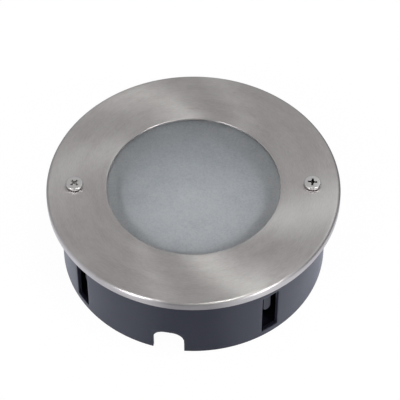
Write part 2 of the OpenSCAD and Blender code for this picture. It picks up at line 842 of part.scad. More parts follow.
module gland_body() {
    color(black) along_gland() difference() {
        union() {
            slab(gland_d / 2, locknut_z - hook_gap, hex_z);
            translate([0, 0, hex_z]) hex_bar(gland_af, gland_hex_t);
            slab(neck_r, hex_z, neck_end);
        }
        slab(gland_bore_r, 0, neck_end + cut);
        slab(seal_r + clear_gap, seal_z - hook_gap / 2, neck_end + cut);
    }
}

module gland_washer() {
    color(rubber) along_gland()
        tube(gland_d / 2 + run_gap, gland_af / 2 - run_gap, pad_face, hex_z);
}

module gland_locknut() {
    color(black) along_gland() difference() {
        translate([0, 0, locknut_z]) hex_bar(locknut_af, locknut_t);
        slab(gland_d / 2 + run_gap, locknut_z - cut, pad_back + cut);
    }
}

module gland_seal() {
    color(rubber) along_gland() tube(cable_bore / 2, seal_r, seal_z, seal_z + seal_len);
}

module gland_nut() {
    round = gland_af / 5;
    color(black) along_gland() difference() {
        intersection() {
            translate([0, 0, nut_z]) hex_bar(gland_af, nut_len);
            rotate_extrude()
                rounded_section(0, gland_af / 2 + hook_gap, nut_z, nut_end, round);
        }
        slab(neck_r + 3 * run_gap, nut_z - cut, nut_end - nut_lip - neck_r / 3);
        slab(seal_r + clear_gap, nut_z, nut_end - nut_lip);
        slab(cable_bore / 2 + hook_gap, nut_z, nut_end + cut);
    }
}

// Lamp
lamp_rim = lamp_top - lamp_cover_h;
step_r = lamp_r - 2 * lamp_wall;
board_z = lamp_rim - board_t - clear_gap;
board_room = 3;
driver_z = lamp_z + lamp_wall + board_room;
driver_r = pin_r - pin_head_d / 2;
chip_w = 2.8;
chip_h = 0.7;

module lamp_body() {
    color(white) {
        rotate_extrude() polygon([
            [0, lamp_z], [lamp_r - lamp_wall, lamp_z], [lamp_r, lamp_z + lamp_wall],
            [lamp_r, lamp_rim], [lamp_r - lamp_wall, lamp_rim], [lamp_r - lamp_wall, board_z],
            [step_r, board_z], [step_r, lamp_z + lamp_wall], [0, lamp_z + lamp_wall]
        ]);
        for (turn = [30 : 120 : 270]) at(turn) translate([0, -driver_r * 4 / 5, 0])
            slab(lamp_wall, lamp_z + lamp_wall / 2, driver_z);
    }
}

module lamp_cover() {
    color([0.95, 0.95, 0.93]) rotate_extrude() difference() {
        rounded_section(0, lamp_r, lamp_rim, lamp_top, lamp_wall);
        rounded_section(0, lamp_r - lamp_wall, lamp_rim - cut, lamp_top - lamp_wall, lamp_wall / 2);
    }
}

module lamp_pins() {
    color(brass) for (side = [0, 180]) at(pin_turn + side) translate([0, -pin_r, 0]) {
        slab(pin_head_d / 2, pin_tip, pin_tip + pin_head_h);
        slab(pin_d / 2, pin_tip + pin_head_h, lamp_z);
    }
}

module led_board() {
    color(white) slab(lamp_r - lamp_wall - clear_gap, board_z, board_z + board_t);
}

module led_chips() {
    color([0.9, 0.8, 0.3]) {
        for (i = [0 : led_count - 1]) at(i * 360 / led_count) led_chip(lamp_r * 2 / 3);
        for (i = [0 : led_count / 2 - 1]) at(i * 720 / led_count) led_chip(lamp_r / 3);
    }
}

module led_chip(r) {
    front_block(chip_w, r - chip_w / 2, r + chip_w / 2, board_z + board_t, board_z + board_t + chip_h);
}

module driver_board() {
    color([0.2, 0.45, 0.25]) slab(driver_r, driver_z, driver_z + board_t);
}

module driver_parts() {
    z = driver_z + board_t;
    room = board_z - z - hook_gap;
    color([0.25, 0.25, 0.28]) {
        for (turn = [20, 140]) at(turn) translate([0, -driver_r / 2, 0]) slab(driver_r / 6, z, z + room);
        at(250) front_block(driver_r / 2, driver_r / 3, driver_r * 3 / 4, z, z + room * 3 / 4);
    }
}

mounting_sleeve();
sleeve_ledge();
cover_ring();
left_washer();
left_screw();
right_washer();
right_screw();
window_glass();
glass_seal();
lamp_housing();
lamp_pot();
pot_gussets();
screw_inserts();
reflector();
lampholder();
lampholder_contacts();
lampholder_screws();
terminal_block();
terminal_clamps();
terminal_screws();
terminal_fixings();
earth_tag();
earth_screw();
live_lead();
neutral_lead();
earth_lead();
gland_body();
gland_washer();
gland_locknut();
gland_seal();
gland_nut();
lamp_body();
lamp_cover();
lamp_pins();
led_board();
led_chips();
driver_board();
driver_parts();
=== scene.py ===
# Recessed ground light: finishes, detailed pieces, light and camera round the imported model
import json
import math

import bmesh
import bpy
import numpy as np
from mathutils import Matrix, Vector


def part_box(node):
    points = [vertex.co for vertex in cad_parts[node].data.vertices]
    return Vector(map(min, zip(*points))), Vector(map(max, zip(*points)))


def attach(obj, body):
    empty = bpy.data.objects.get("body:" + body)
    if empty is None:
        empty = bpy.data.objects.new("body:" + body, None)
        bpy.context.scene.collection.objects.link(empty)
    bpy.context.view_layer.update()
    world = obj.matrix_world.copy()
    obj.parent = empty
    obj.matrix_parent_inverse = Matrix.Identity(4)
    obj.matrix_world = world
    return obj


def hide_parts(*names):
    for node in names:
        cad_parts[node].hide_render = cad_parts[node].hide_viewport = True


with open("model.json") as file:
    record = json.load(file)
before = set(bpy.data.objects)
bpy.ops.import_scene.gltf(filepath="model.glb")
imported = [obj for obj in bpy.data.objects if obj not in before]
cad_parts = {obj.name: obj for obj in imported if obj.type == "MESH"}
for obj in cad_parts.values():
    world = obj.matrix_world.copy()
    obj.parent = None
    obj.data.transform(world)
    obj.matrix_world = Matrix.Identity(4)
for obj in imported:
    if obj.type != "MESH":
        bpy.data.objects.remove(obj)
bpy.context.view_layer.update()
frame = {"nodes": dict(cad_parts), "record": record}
mm = 0.001  # sizes below are in millimetres and become metres on their way into a mesh
weldMm, shortestMm = 0.002, 0.0005  # nearer vertices are merged, and shorter edges are dissolved
scene = bpy.context.scene


# Small helpers for colours, nodes and meshes

noiseSpan = {"From_Min": 0.3, "From_Max": 0.7}  # nearly all of a noise texture's values lie between these


def linearColour(hexCode):
    # each sRGB channel: c / 12.92 below 0.04045, else ((c + 0.055) / 1.055) to the power 2.4
    channels = [int(hexCode[i:i + 2], 16) / 255 for i in (1, 3, 5)]
    return tuple(c / 12.92 if c <= 0.04045 else ((c + 0.055) / 1.055) ** 2.4 for c in channels) + (1.0,)


def setInputs(tree, node, **inputs):
    # a socket is linked to its input, and any other value is set there. In an input's name _ stands for a
    # space, and _2 alone is the input with the number 2
    for name, value in inputs.items():
        entry = node.inputs[int(name[1:]) if name[1:].isdigit() else name.replace("_", " ")]
        if isinstance(value, bpy.types.NodeSocket):
            tree.links.new(value, entry)
        else:
            entry.default_value = value


def addNode(tree, kind, settings=(), **inputs):
    # one node with its settings and inputs
    node = tree.nodes.new("ShaderNode" + kind)
    for name, value in dict(settings).items():
        setattr(node, name, value)
    setInputs(tree, node, **inputs)
    return node


def colourRamp(tree, fac, stops):
    # a ramp through (place, value) pairs, a value being a grey or a hex colour
    ramp = addNode(tree, "ValToRGB", Fac=fac)
    elements = ramp.color_ramp.elements
    while len(elements) < len(stops):
        elements.new(0.5)
    for element, (place, value) in zip(elements, stops):
        element.position = place
        element.color = linearColour(value) if isinstance(value, str) else (value, value, value, 1)
    return ramp.outputs["Color"]


def newMaterial(name, **shaderInputs):
    # a material with one Principled shader, whose patterns are linked by the function that asks for it
    material = bpy.data.materials.new(name)
    material.use_nodes = True
    tree = material.node_tree
    tree.nodes.clear()
    shader = addNode(tree, "BsdfPrincipled", **shaderInputs)
    addNode(tree, "OutputMaterial", Surface=shader.outputs["BSDF"])
    return material, tree, shader


def objectPlace(tree, scale=(1, 1, 1)):
    # Object coordinates in millimetres, so that pattern scales below are per millimetre
    where = addNode(tree, "TexCoord").outputs["Object"]
    return addNode(tree, "VectorMath", {"operation": "MULTIPLY"}, _0=where,
                   _1=[s / mm for s in scale]).outputs["Vector"]


def bump(tree, height, depthMm, strength):
    # the normal of a relief that is depthMm deep where the height goes from 0 to 1
    return addNode(tree, "Bump", Height=height, Distance=depthMm * mm, Strength=strength).outputs["Normal"]


def gridFaces(rows, columns, closeColumns=True, closeRows=False):
    # quads between neighbouring rows and columns of a grid whose vertices run row by row
    r, c = np.meshgrid(np.arange(rows if closeRows else rows - 1),
                       np.arange(columns if closeColumns else columns - 1), indexing="ij")
    nextRow, nextColumn = (r + 1) % rows, (c + 1) % columns
    return np.stack([r * columns + c, r * columns + nextColumn,
                     nextRow * columns + nextColumn, nextRow * columns + c], -1).reshape(-1, 4)


def capFace(start, count):
    # one face through count vertices that follow each other from start
    return np.arange(start, start + count)[None, :]


def makePiece(name, shells, material, sharpAngle=35):
    # each shell is its vertices in mm and a list of face arrays; doubles are merged and faces turned outwards
    vertices, faces, start = [], [], 0
    for points, faceSets in shells:
        points = np.asarray(points, float).reshape(-1, 3)
        vertices.append(points)
        for faceSet in faceSets:
            faces += (np.asarray(faceSet) + start).tolist()
        start += len(points)
    mesh = bpy.data.meshes.new(name)
    mesh.from_pydata((np.concatenate(vertices) * mm).tolist(), [], faces)
    work = bmesh.new()
    work.from_mesh(mesh)
    bmesh.ops.remove_doubles(work, verts=work.verts, dist=weldMm * mm)
    bmesh.ops.dissolve_degenerate(work, edges=work.edges, dist=shortestMm * mm)
    bmesh.ops.recalc_face_normals(work, faces=work.faces)
    openEdges = sum(len(edge.link_faces) != 2 for edge in work.edges)
    work.to_mesh(mesh)
    work.free()
    mesh.polygons.foreach_set("use_smooth", np.ones(len(mesh.polygons), bool))
    mesh.set_sharp_from_angle(angle=math.radians(sharpAngle))
    mesh.materials.append(material)
    piece = bpy.data.objects.new(name, mesh)
    scene.collection.objects.link(piece)
    print(f"{name}: {len(mesh.polygons)} faces, {openEdges} open edges")
    return piece


def dress(piece, body, slot, *nodes):
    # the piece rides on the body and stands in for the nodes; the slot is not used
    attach(piece, body)
    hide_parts(*nodes)


def arc(centreR, centreZ, radius, fromDegrees, toDegrees, steps):
    # section points on an arc: the centre plus radius times (cos, sin) of each angle
    turn = np.radians(np.linspace(fromDegrees, toDegrees, steps))
    return np.stack([centreR + radius * np.cos(turn), centreZ + radius * np.sin(turn)], -1)


def line(r, z):
    # section points, where r or z may be one number for all of them
    return np.stack(np.broadcast_arrays(r, z), -1)


def aroundAxis(r, azimuth, z):
    # x = r sin a, y = -r cos a, with the azimuth a in degrees from the front towards the right
    r, a, z = np.broadcast_arrays(r, np.radians(azimuth), z)
    return np.stack([r * np.sin(a), -r * np.cos(a), z], -1)


def polar(r, angle, z):
    # x = r cos a, y = r sin a, with the angle a in radians
    r, a, z = np.broadcast_arrays(r, angle, z)
    return np.stack([r * np.cos(a), r * np.sin(a), z], -1)


def revolve(section, steps):
    # a closed section of (r, z) points carried once round the axis
    turns = np.arange(steps) * 360 / steps
    points = aroundAxis(section[None, :, 0], turns[:, None], section[None, :, 1])
    return points, [gridFaces(steps, len(section), closeRows=True)]


def revolveOpen(section, steps):
    # the same for a section that starts on the axis, with a row for each of its points
    turns = np.arange(steps) * 360 / steps
    return aroundAxis(section[:, None, 0], turns, section[:, None, 1]), [gridFaces(len(section), steps)]


def nodeBox(node):
    # lowest and highest corner of a CAD node at rest, in mm
    low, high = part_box(node)
    return np.array(low) / mm, np.array(high) / mm


# Brushed stainless steel, grade 304, turned against an abrasive belt: its grooves run in circles round the
# axis, so highlights stretch across them and show as bright sectors that face each other

brushed = {
    "dark": "#bab5b3", "colour": "#cdc8c7", "light": "#dcd8d6",
    "roughness": 0.34, "roughSpread": 0.05, "anisotropy": 0.92,
    "grooveMm": 0.42,  # real grooves are near 0.05 mm, too fine to show, so they are drawn this coarse
    "bandsPerMm": 0.22,  # slower bands of tone across the grooves, near 4.5 mm wide
    "streakCircle": 9.0,  # the pattern's way round a circle of this radius is stretched over the whole turn
    "mottleMm": 14, "bandShare": 0.35, "mottleShare": 0.3, "reliefMm": 0.004,
    "swirl": 0.0145, "swirlRadius": 59.5,  # the grooves drift off a true circle, in radians per mm of radius
}


def brushedStainless():
    # tone and roughness = fine, broad and mottled noise, mixed; the highlight's direction = across the groove
    material, tree, shader = newMaterial("brushedStainless304", Metallic=1.0)
    place = objectPlace(tree)
    part = addNode(tree, "SeparateXYZ", Vector=place)
    level = addNode(tree, "CombineXYZ", X=part.outputs["X"], Y=part.outputs["Y"]).outputs["Vector"]
    radius = addNode(tree, "VectorMath", {"operation": "LENGTH"}, _0=level).outputs["Value"]
    turn = addNode(tree, "Math", {"operation": "ARCTAN2"}, _0=part.outputs["Y"], _1=part.outputs["X"])
    # noise over (radius, circle sin turn, circle cos turn + height): long thin streaks along the grooves
    sine = addNode(tree, "Math", {"operation": "SINE"}, _0=turn.outputs[0])
    cosine = addNode(tree, "Math", {"operation": "COSINE"}, _0=turn.outputs[0])
    second = addNode(tree, "Math", {"operation": "MULTIPLY"}, _0=sine.outputs[0], _1=brushed["streakCircle"])
    third = addNode(tree, "Math", {"operation": "MULTIPLY_ADD"}, _0=cosine.outputs[0],
                    _1=brushed["streakCircle"], _2=part.outputs["Z"])
    streak = addNode(tree, "CombineXYZ", X=radius, Y=second.outputs[0], Z=third.outputs[0]).outputs["Vector"]
    fine = addNode(tree, "TexNoise", Vector=streak, Scale=1 / brushed["grooveMm"], Detail=3.0, Roughness=0.65)
    broad = addNode(tree, "TexNoise", Vector=streak, Scale=brushed["bandsPerMm"])
    mottled = addNode(tree, "TexNoise", Vector=place, Scale=1 / brushed["mottleMm"], Detail=3.0,
                      Roughness=0.55)
    tone = addNode(tree, "Mix", {"data_type": "FLOAT"}, Factor=brushed["bandShare"], A=fine.outputs["Fac"],
                   B=broad.outputs["Fac"])
    blend = addNode(tree, "Mix", {"data_type": "FLOAT"}, Factor=brushed["mottleShare"],
                    A=tone.outputs["Result"], B=mottled.outputs["Fac"])
    colour = colourRamp(tree, blend.outputs["Result"],
                        [(0.3, brushed["dark"]), (0.5, brushed["colour"]), (0.72, brushed["light"])])
    rough = addNode(tree, "MapRange", Value=blend.outputs["Result"], **noiseSpan,
                    To_Min=brushed["roughness"] - brushed["roughSpread"],
                    To_Max=brushed["roughness"] + brushed["roughSpread"])
    # a groove runs round the axis and drifts outwards by swirl times (radius - swirlRadius); the rough
    # direction is the groove's cross product with the normal, so it climbs the rim too
    drift = addNode(tree, "Math", {"operation": "MULTIPLY_ADD"}, _0=radius, _1=brushed["swirl"],
                    _2=-brushed["swirl"] * brushed["swirlRadius"])
    outwards = addNode(tree, "VectorMath", {"operation": "MULTIPLY"}, _0=place, _1=(1, 1, 0))
    along = addNode(tree, "VectorMath", {"operation": "CROSS_PRODUCT"}, _0=(0, 0, 1), _1=place)
    aside = addNode(tree, "VectorMath", {"operation": "SCALE"}, _0=outwards.outputs["Vector"],
                    Scale=drift.outputs[0])
    groove = addNode(tree, "VectorMath", {"operation": "ADD"}, _0=along.outputs["Vector"],
                     _1=aside.outputs["Vector"])
    across = addNode(tree, "VectorMath", {"operation": "CROSS_PRODUCT"}, _0=groove.outputs["Vector"],
                     _1=addNode(tree, "TexCoord").outputs["Normal"])
    across = addNode(tree, "VectorMath", {"operation": "NORMALIZE"}, _0=across.outputs["Vector"])
    setInputs(tree, shader, Base_Color=colour, Roughness=rough.outputs["Result"],
              Anisotropic=brushed["anisotropy"], Tangent=across.outputs["Vector"],
              Normal=bump(tree, fine.outputs["Fac"], brushed["reliefMm"], 0.6))
    return material


# Cover ring: one pressed sheet, its rim turned down over a round bend, with a clear hole for each screw

ring = {
    "windowRadius": 44.3, "sheet": 1.2, "bend": 1.6, "edgeRound": 0.32, "screwRadius": 60.6,
    "holeRadius": 2.25, "steps": 360, "rowsInside": 8, "rowsOutside": 6, "belowBend": 0.6,
    "patchTurn": 6, "patchInner": 55.0, "patchOuter": 66.0, "patchRows": 8, "patchSteps": 5,
}


def coverRing(material):
    # the sheet's section, carried once round the axis: up the window's edge, out along the face, over the
    # bend, down the rim and back inside it
    low, high = nodeBox("cover_ring")
    outer, top, foot = high[0], high[2], low[2]
    under, inner = top - ring["sheet"], ring["windowRadius"]
    edge, bend, sheet = ring["edgeRound"], ring["bend"], ring["sheet"]
    span = np.linspace(ring["patchInner"], ring["patchOuter"], ring["patchRows"] + 1)
    faceIn = np.linspace(inner + edge, ring["patchInner"], ring["rowsInside"] + 1)[1:-1]
    faceOut = np.linspace(ring["patchOuter"], outer - bend, ring["rowsOutside"] + 1)[1:-1]
    across = np.concatenate([faceIn, span, faceOut])
    rimTop = top - bend - ring["belowBend"]
    section = np.concatenate([
        arc(inner + edge, top - edge, edge, 180, 90, 5), line(across, top),
        arc(outer - bend, top - bend, bend, 90, 0, 12),
        [[outer, rimTop]], arc(outer - edge, foot + edge, edge, 0, -90, 4),
        arc(outer - sheet + edge, foot + edge, edge, -90, -180, 4), [[outer - sheet, rimTop]],
        arc(outer - bend, top - bend, bend - sheet, 0, 90, 5), line(across[::-1], under),
        arc(inner + edge, under + edge, edge, 270, 180, 4)])
    steps, count = ring["steps"], len(section)
    points, (faces,) = revolve(section, steps)
    faces = faces.reshape(steps, count, 4)
    # the cells round each screw hole are left out and filled by a patch
    middle = (section + np.roll(section, -1, 0)) / 2
    inSpan = (middle[:, 0] > ring["patchInner"]) & (middle[:, 0] < ring["patchOuter"])
    flat = np.abs(section[:, 1] - np.roll(section[:, 1], -1)) < 1e-9
    turn = (np.arange(steps) + 0.5) * 360 / steps
    keep = np.ones((steps, count), bool)
    shells = []
    for azimuth in (90, 270):
        near = np.abs(turn - azimuth) < ring["patchTurn"]
        keep[np.ix_(near, inSpan & flat)] = False
        shells.append(holePatch(azimuth, span, top, under))
    shells.insert(0, (points, [faces[keep]]))
    return makePiece("coverRing", shells, material)


def holePatch(azimuth, span, top, under):
    # rows run from the patch's border in a straight line to the hole, down it and back out below
    turns = np.arange(-ring["patchTurn"], ring["patchTurn"] + 1) * 360 / ring["steps"] + azimuth
    border = np.concatenate([
        aroundAxis(span[0], turns[:-1], 0), aroundAxis(span[:-1], turns[-1], 0),
        aroundAxis(span[-1], turns[:0:-1], 0), aroundAxis(span[:0:-1], turns[0], 0)])
    centre = aroundAxis(ring["screwRadius"], azimuth, 0)
    away = border - centre
    hole = centre + polar(ring["holeRadius"], np.arctan2(away[:, 1], away[:, 0]), 0)
    edge = ring["edgeRound"] / 2
    rim = centre + (ring["holeRadius"] + edge) * (hole - centre) / ring["holeRadius"]
    shares = np.linspace(0, 1, ring["patchSteps"])[:, None, None]
    upper = border + (rim - border) * shares + [0, 0, top]
    lower = (border + (rim - border) * shares + [0, 0, under])[::-1]
    rows = np.concatenate([upper, [hole + [0, 0, top - edge], hole + [0, 0, under + edge]], lower])
    return rows, [gridFaces(len(rows), len(border))]


print("finishes and the cover ring")
stainless = brushedStainless()
dress(coverRing(stainless), "cover", "stainless", "cover_ring")


# Cover screws: M4 pan heads with a cross recess, cold headed from A2 stainless wire

screw = {
    "headRadius": 4.36, "headHeight": 1.79, "shoulder": 0.6, "crown": 0.1, "underRound": 0.12,
    "length": 14.0, "radius": 2.0, "pitch": 0.7, "threadDepth": 0.43, "neck": 0.8, "tip": 1.0,
    "crossSpan": 4.7, "crossWidth": 1.05, "crossDepth": 1.5, "core": 1.1,
    "endSlope": 3.0, "sideSlope": 9.0, "coreSlope": 4.0,  # fall of the recess's walls per mm
    "ridgeGain": 1.3, "ridgeCut": 0.15,  # the thread's triangle wave, cut flat at its crest and root
    "crossTurns": {"left_screw": 45, "right_screw": -7},
    "axisRadius": 60.6, "columns": 144, "rowsPerPitch": 8,
    "closeRows": (2.3, 40), "openRows": (2.45, 4),  # radius and number: rows are close only in the recess
    "dark": "#d3d0cf", "colour": "#e1dfde", "light": "#eae8e7", "roughness": (0.3, 0.42),
    "marksPerMm": 3.2,  # forming marks near 0.1 mm are too fine to show, so they are drawn near 0.3 mm
    # the recess tone is painted shade: the colour towards which the cross recess is darkened
    "reliefMm": 0.01, "recessShadeTone": "#3a3837", "leftShadeShare": 0.3,
    "shadeSpan": (0.1, 0.7), "floorMargin": 0.05,  # the painted shade comes in over these depths; slack below the floor
}


def crossRecess(x, y):
    # depth below the crown: for each arm the least of its floor, its end slope and its side slope
    def armDepth(along, aside):
        ends = (screw["crossSpan"] / 2 - np.abs(along)) * screw["endSlope"]
        sides = (screw["crossWidth"] / 2 - np.abs(aside)) * screw["sideSlope"]
        return np.minimum(np.minimum(ends, sides), screw["crossDepth"])
    core = (screw["core"] - np.hypot(x, y)) * screw["coreSlope"]
    return np.clip(np.maximum(np.maximum(armDepth(x, y), armDepth(y, x)), core), 0, screw["crossDepth"])


def coverScrew(name, side, material):
    # crown: z = top - crown (r / flat)^2 - the recess's depth; side is -1 on the left and 1 on the right
    top, columns = nodeBox(name)[1][2], screw["columns"]
    seat = top - screw["headHeight"]
    turn = np.radians(np.arange(columns) * 360 / columns)
    # head: rows from the middle of the crown outwards, over the shoulder and back in underneath
    flat = screw["headRadius"] - screw["shoulder"]
    (closeRadius, closeCount), (openRadius, openCount) = screw["closeRows"], screw["openRows"]
    across = np.concatenate([np.linspace(0, closeRadius, closeCount),
                             np.linspace(openRadius, flat, openCount)])
    drop = screw["crown"] * (across / flat) ** 2
    r, a = np.meshgrid(across, turn, indexing="ij")
    spin = a - math.radians(screw["crossTurns"][name])
    z = top - drop[:, None] - crossRecess(r * np.cos(spin), r * np.sin(spin))
    lip = screw["underRound"]
    skirt = np.concatenate([
        arc(flat, top - screw["crown"] - screw["shoulder"], screw["shoulder"], 80, 0, 9),
        arc(screw["headRadius"] - lip, seat + lip, lip, 0, -90, 4), [[screw["radius"], seat]]])
    head = np.concatenate([polar(r, a, z), polar(skirt[:, :1], turn, skirt[:, 1:])])
    # shank: every row follows the helix, z = start - pitch row / rowsPerPitch + pitch turn
    pitch, rows = screw["pitch"], screw["rowsPerPitch"]
    foot = seat - screw["length"]
    wholeTurn = np.linspace(0, 2 * math.pi, columns + 1)
    row = np.arange(int((screw["length"] / pitch + 2) * rows) + 1)
    j, a = np.meshgrid(row, wholeTurn, indexing="ij")
    z = seat + pitch - pitch * j / rows + pitch * (a / (2 * math.pi) - 1)
    z = np.clip(z, foot, seat)
    ridge = np.clip(np.abs(2 * ((j / rows) % 1) - 1) * screw["ridgeGain"] - screw["ridgeCut"], 0, 1)
    fade = np.clip((seat - screw["neck"] - z) / pitch, 0, 1)
    r = screw["radius"] - screw["threadDepth"] * (1 - ridge) * fade
    r = np.minimum(r, screw["radius"] - screw["tip"] + (z - foot))
    shank = polar(r, a, z)
    end = polar([[screw["radius"] - screw["tip"]], [0]], turn, foot)
    axis = [side * screw["axisRadius"], 0, 0]
    return makePiece(name.replace("_", "") + "Piece", [
        (head + axis, [gridFaces(len(head), columns)]),
        (shank + axis, [gridFaces(len(row), columns + 1, closeColumns=False)]),
        (end + axis, [gridFaces(2, columns)])], material, 30)


def headedScrewSteel():
    # cold heading leaves it smooth and bright; painted shade = inside the cross times its depth, less on the
    # left
    material, tree, shader = newMaterial("coldHeadedStainlessA2", Metallic=1.0)
    place = objectPlace(tree)
    part = addNode(tree, "SeparateXYZ", Vector=place)
    sideways = addNode(tree, "Math", {"operation": "ABSOLUTE"}, _0=part.outputs["X"])
    fromAxis = addNode(tree, "Math", {"operation": "SUBTRACT"}, _0=sideways.outputs[0],
                       _1=screw["axisRadius"])
    level = addNode(tree, "CombineXYZ", X=fromAxis.outputs[0], Y=part.outputs["Y"]).outputs["Vector"]
    apart = addNode(tree, "VectorMath", {"operation": "LENGTH"}, _0=level)
    shoulderTop = nodeBox("left_screw")[1][2] - screw["crown"]
    shadeStart, shadeFull = screw["shadeSpan"]
    inside = addNode(tree, "Math", {"operation": "LESS_THAN"}, _0=apart.outputs["Value"],
                     _1=screw["crossSpan"] / 2)
    above = addNode(tree, "Math", {"operation": "GREATER_THAN"}, _0=part.outputs["Z"],
                    _1=shoulderTop - screw["crossDepth"] - screw["floorMargin"])
    depth = addNode(tree, "MapRange", Value=part.outputs["Z"], From_Min=shoulderTop - shadeStart,
                    From_Max=shoulderTop - shadeFull)
    # the left recess gets less of the painted shade than the right one, by its share set above
    sideShade = addNode(tree, "MapRange", Value=part.outputs["X"], From_Min=-1.0, From_Max=1.0,
                   To_Min=screw["leftShadeShare"], To_Max=1.0)
    # recess = the mask of the painted shade in the cross: inside it, above its floor, by depth and by side
    recess = inside.outputs[0]
    for share in (above.outputs[0], depth.outputs["Result"], sideShade.outputs["Result"]):
        recess = addNode(tree, "Math", {"operation": "MULTIPLY"}, _0=recess, _1=share).outputs[0]
    marks = addNode(tree, "TexNoise", Vector=place, Scale=screw["marksPerMm"], Detail=3.0, Roughness=0.6)
    colour = colourRamp(tree, marks.outputs["Fac"],
                        [(0.3, screw["dark"]), (0.55, screw["colour"]), (0.75, screw["light"])])
    colour = addNode(tree, "Mix", {"data_type": "RGBA"}, Factor=recess, _6=colour,
                     _7=linearColour(screw["recessShadeTone"])).outputs[2]
    rough = addNode(tree, "MapRange", Value=marks.outputs["Fac"], **noiseSpan, To_Min=screw["roughness"][0],
                    To_Max=screw["roughness"][1])
    setInputs(tree, shader, Base_Color=colour, Roughness=rough.outputs["Result"],
              Normal=bump(tree, marks.outputs["Fac"], screw["reliefMm"], 0.4))
    return material


# Washers: black silicone rubber, punched from sheet, under each head

# the washer is drawn overhang mm wider than its solid, so that a dark ring shows all round the head: partly
# the washer itself, partly a dark thing standing in for the shade under the head
washer = {"bore": 2.08, "overhang": 0.25, "edgeRound": 0.12, "steps": 96}


def screwWasher(name, side, material):
    # a rectangle with round corners, carried once round the axis and moved out to its screw
    low, high = nodeBox(name)
    outer, edge, bore = (high[0] - low[0]) / 2 + washer["overhang"], washer["edgeRound"], washer["bore"]
    section = np.concatenate([
        arc(outer - edge, high[2] - edge, edge, 90, 0, 4), arc(outer - edge, low[2] + edge, edge, 0, -90, 4),
        arc(bore + edge, low[2] + edge, edge, 270, 180, 4),
        arc(bore + edge, high[2] - edge, edge, 180, 90, 4)])
    points, faces = revolve(section, washer["steps"])
    return makePiece(name.replace("_", "") + "Piece", [(points + [side * screw["axisRadius"], 0, 0], faces)],
                     material)


# Window: toughened soda-lime glass, acid etched on its face, so that it blurs the lamp behind it

window = {
    "seam": 0.5, "rows": 13, "steps": 240, "tint": "#ffffff", "shade": "#d6d9dd",
    "ior": 1.5, "transmission": 0.92, "roughness": 0.55, "roughSpread": 0.05,
    "speckleMm": 1.1,  # etching leaves grains near 0.1 mm; at this size they just show as a speckle
    "cloudMm": 9, "cloudShare": 0.3, "reliefMm": 0.01,
}


def frostedGlass():
    # tint and roughness = the speckle mixed with a slow cloud; only the speckle gives relief
    material, tree, shader = newMaterial("acidEtchedGlass", IOR=window["ior"],
                                         Transmission_Weight=window["transmission"])
    place = objectPlace(tree)
    etch = addNode(tree, "TexNoise", Vector=place, Scale=1 / window["speckleMm"], Roughness=0.7)
    cloud = addNode(tree, "TexNoise", Vector=place, Scale=1 / window["cloudMm"])
    grain = addNode(tree, "Mix", {"data_type": "FLOAT"}, Factor=window["cloudShare"], A=etch.outputs["Fac"],
                    B=cloud.outputs["Fac"])
    colour = colourRamp(tree, grain.outputs["Result"], [(0.3, window["shade"]), (0.7, window["tint"])])
    rough = addNode(tree, "MapRange", Value=grain.outputs["Result"], **noiseSpan,
                    To_Min=window["roughness"] - window["roughSpread"],
                    To_Max=window["roughness"] + window["roughSpread"])
    setInputs(tree, shader, Base_Color=colour, Roughness=rough.outputs["Result"],
              Normal=bump(tree, etch.outputs["Fac"], window["reliefMm"], 0.5))
    return material


def windowGlass(material):
    # rows run from the middle of the face outwards, round the seamed edge and back in underneath
    low, high = nodeBox("window_glass")
    radius, seam = high[0], window["seam"]
    across = np.linspace(0, radius - seam, window["rows"] + 1)[:-1]
    section = np.concatenate([
        line(across, high[2]), arc(radius - seam, high[2] - seam, seam, 90, 0, 6),
        arc(radius - seam, low[2] + seam, seam, 0, -90, 6), line(across[::-1], low[2])])
    return makePiece("windowGlass", [revolveOpen(section, window["steps"])], material)


print("screws, washers and window")
screwSteel = headedScrewSteel()


# Finishes of the pieces that keep their solids: dark and light tones, the sizes of the fine grain and of the
# slow cloud and the relief's depth in mm. The grain that a mould, die or plating bath leaves is near 0.1 mm
# and too fine to show, so it is drawn at 0.25 to 0.6

roughSpread = 0.06


def grainedFinish(name, spec, **shaderInputs):
    # tone and roughness = grain and cloud in equal shares; only the grain gives relief
    material, tree, shader = newMaterial(name, **shaderInputs)
    place = objectPlace(tree, spec.get("stretch", (1, 1, 1)))
    grain = addNode(tree, "TexNoise", Vector=place, Scale=1 / spec["grain"], Detail=3.0, Roughness=0.6)
    cloud = addNode(tree, "TexNoise", Vector=place, Scale=1 / spec["cloud"])
    both = addNode(tree, "Mix", {"data_type": "FLOAT"}, Factor=0.5, A=grain.outputs["Fac"],
                   B=cloud.outputs["Fac"])
    colour = colourRamp(tree, both.outputs["Result"], [(0.35, spec["dark"]), (0.65, spec["light"])])
    rough = addNode(tree, "MapRange", Value=both.outputs["Result"], **noiseSpan,
                    To_Min=spec["rough"] - roughSpread, To_Max=spec["rough"] + roughSpread)
    setInputs(tree, shader, Base_Color=colour, Roughness=rough.outputs["Result"],
              Normal=bump(tree, grain.outputs["Fac"], spec["relief"], 0.7))
    return material


# polypropylene from a spark-eroded mould: a bluish black with a dull sheen
sleevePlastic = {"dark": "#0e0e18", "light": "#151522", "grain": 0.35, "cloud": 18, "rough": 0.38,
                 "relief": 0.02}
sleeveSheen = {"Specular_Tint": (0.81, 0.84, 0.97, 1.0), "Sheen_Weight": 0.16,
               "Sheen_Tint": (0.62, 0.66, 1.0, 1.0)}
# moulded glass-filled nylon: fine fibre streaks and a matt skin; fibres near 0.3 mm
housingNylon = {"dark": "#18181a", "light": "#26262a", "grain": 0.3, "cloud": 12, "rough": 0.5,
                "relief": 0.02, "stretch": (1, 1, 0.4)}
# moulded silicone: soft, nearly black, dusty
siliconeRubber = {"dark": "#1d1d1e", "light": "#2a2a2b", "grain": 0.5, "cloud": 6, "rough": 0.6,
                  "relief": 0.015}
# turned brass: warm, with faint rings and a little tarnish
turnedBrass = {"dark": "#b08d4a", "light": "#d6b46c", "grain": 0.4, "cloud": 4, "rough": 0.3, "relief": 0.01}
